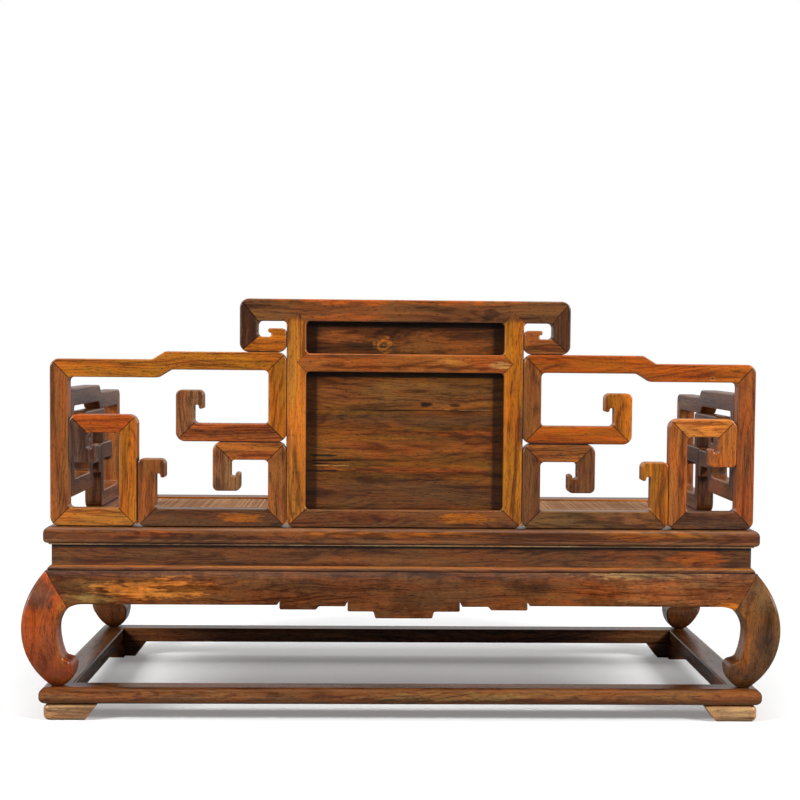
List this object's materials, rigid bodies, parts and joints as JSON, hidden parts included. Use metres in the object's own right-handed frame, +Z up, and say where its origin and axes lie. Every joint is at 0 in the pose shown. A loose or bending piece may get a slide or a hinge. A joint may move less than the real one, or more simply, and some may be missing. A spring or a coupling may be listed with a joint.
{
  "type": "luohan daybed",
  "caption": "Low hardwood daybed with a lift-off scroll railing round its back and ends, a matted seat, carved aprons and bulging legs on a base frame.",
  "frame": {"origin": "on the floor, under the middle of the daybed", "axes": "+X to the daybed's right end, +Y towards the back railing, +Z up; the open side faces -Y"},
  "size_m": [1.958, 1.094, 1.097],
  "materials": {
    "frame_wood": "waxed, semi-gloss",
    "panel_wood": "waxed, satin",
    "board_wood": "planed, unfinished",
    "woven_cane": "woven, satin"
  },
  "bodies": {
    "bed": {"back_right_foot": "frame_wood", "back_left_foot": "frame_wood", "front_right_foot": "frame_wood", "front_left_foot": "frame_wood", "back_right_leg": "frame_wood", "back_left_leg": "frame_wood", "front_right_leg": "frame_wood", "front_left_leg": "frame_wood", "back_base_rail": "frame_wood", "right_base_rail": "frame_wood", "front_base_rail": "frame_wood", "left_base_rail": "frame_wood", "back_apron": "frame_wood", "right_apron": "frame_wood", "front_apron": "frame_wood", "left_apron": "frame_wood", "back_moulding": "frame_wood", "right_moulding": "frame_wood", "front_moulding": "frame_wood", "left_moulding": "frame_wood", "back_waist_board": "panel_wood", "right_waist_board": "panel_wood", "front_waist_board": "panel_wood", "left_waist_board": "panel_wood", "back_seat_rail": "frame_wood", "right_seat_rail": "frame_wood", "front_seat_rail": "frame_wood", "left_seat_rail": "frame_wood", "seat_mat": "woven_cane", "mat_edge_strips": "frame_wood", "seat_boards": "board_wood", "seat_battens": "board_wood"},
    "back_railing": {"crest_rail": "frame_wood", "crest_scroll_right": "frame_wood", "crest_scroll_left": "frame_wood", "back_stile_right": "frame_wood", "back_stile_left": "frame_wood", "back_bottom_rail": "frame_wood", "back_middle_rail": "frame_wood", "back_lower_panel": "panel_wood", "back_upper_panel": "panel_wood", "right_wing_top_rail": "frame_wood", "right_wing_upper_scroll": "frame_wood", "right_wing_corner_loop": "frame_wood", "right_wing_lower_scroll": "frame_wood", "left_wing_top_rail": "frame_wood", "left_wing_upper_scroll": "frame_wood", "left_wing_corner_loop": "frame_wood", "left_wing_lower_scroll": "frame_wood", "back_tenons": "frame_wood"},
    "right_arm": {"right_arm_top_rail": "frame_wood", "right_arm_rear_scroll": "frame_wood", "right_arm_front_scroll": "frame_wood", "right_arm_hanging_scroll": "frame_wood", "right_arm_tenons_and_keys": "frame_wood"},
    "left_arm": {"left_arm_top_rail": "frame_wood", "left_arm_rear_scroll": "frame_wood", "left_arm_front_scroll": "frame_wood", "left_arm_hanging_scroll": "frame_wood", "left_arm_tenons_and_keys": "frame_wood"}
  },
  "joints": [
    {"name": "back_railing_lift", "type": "slide", "parent": "bed", "child": "back_railing", "axis": [0, 0, 1], "range_m": [0, 0.06]},
    {"name": "right_arm_lift", "type": "slide", "parent": "back_railing", "child": "right_arm", "axis": [0, 0, 1], "range_m": [0, 0.03]},
    {"name": "left_arm_lift", "type": "slide", "parent": "back_railing", "child": "left_arm", "axis": [0, 0, 1], "range_m": [0, 0.03]}
  ]
}
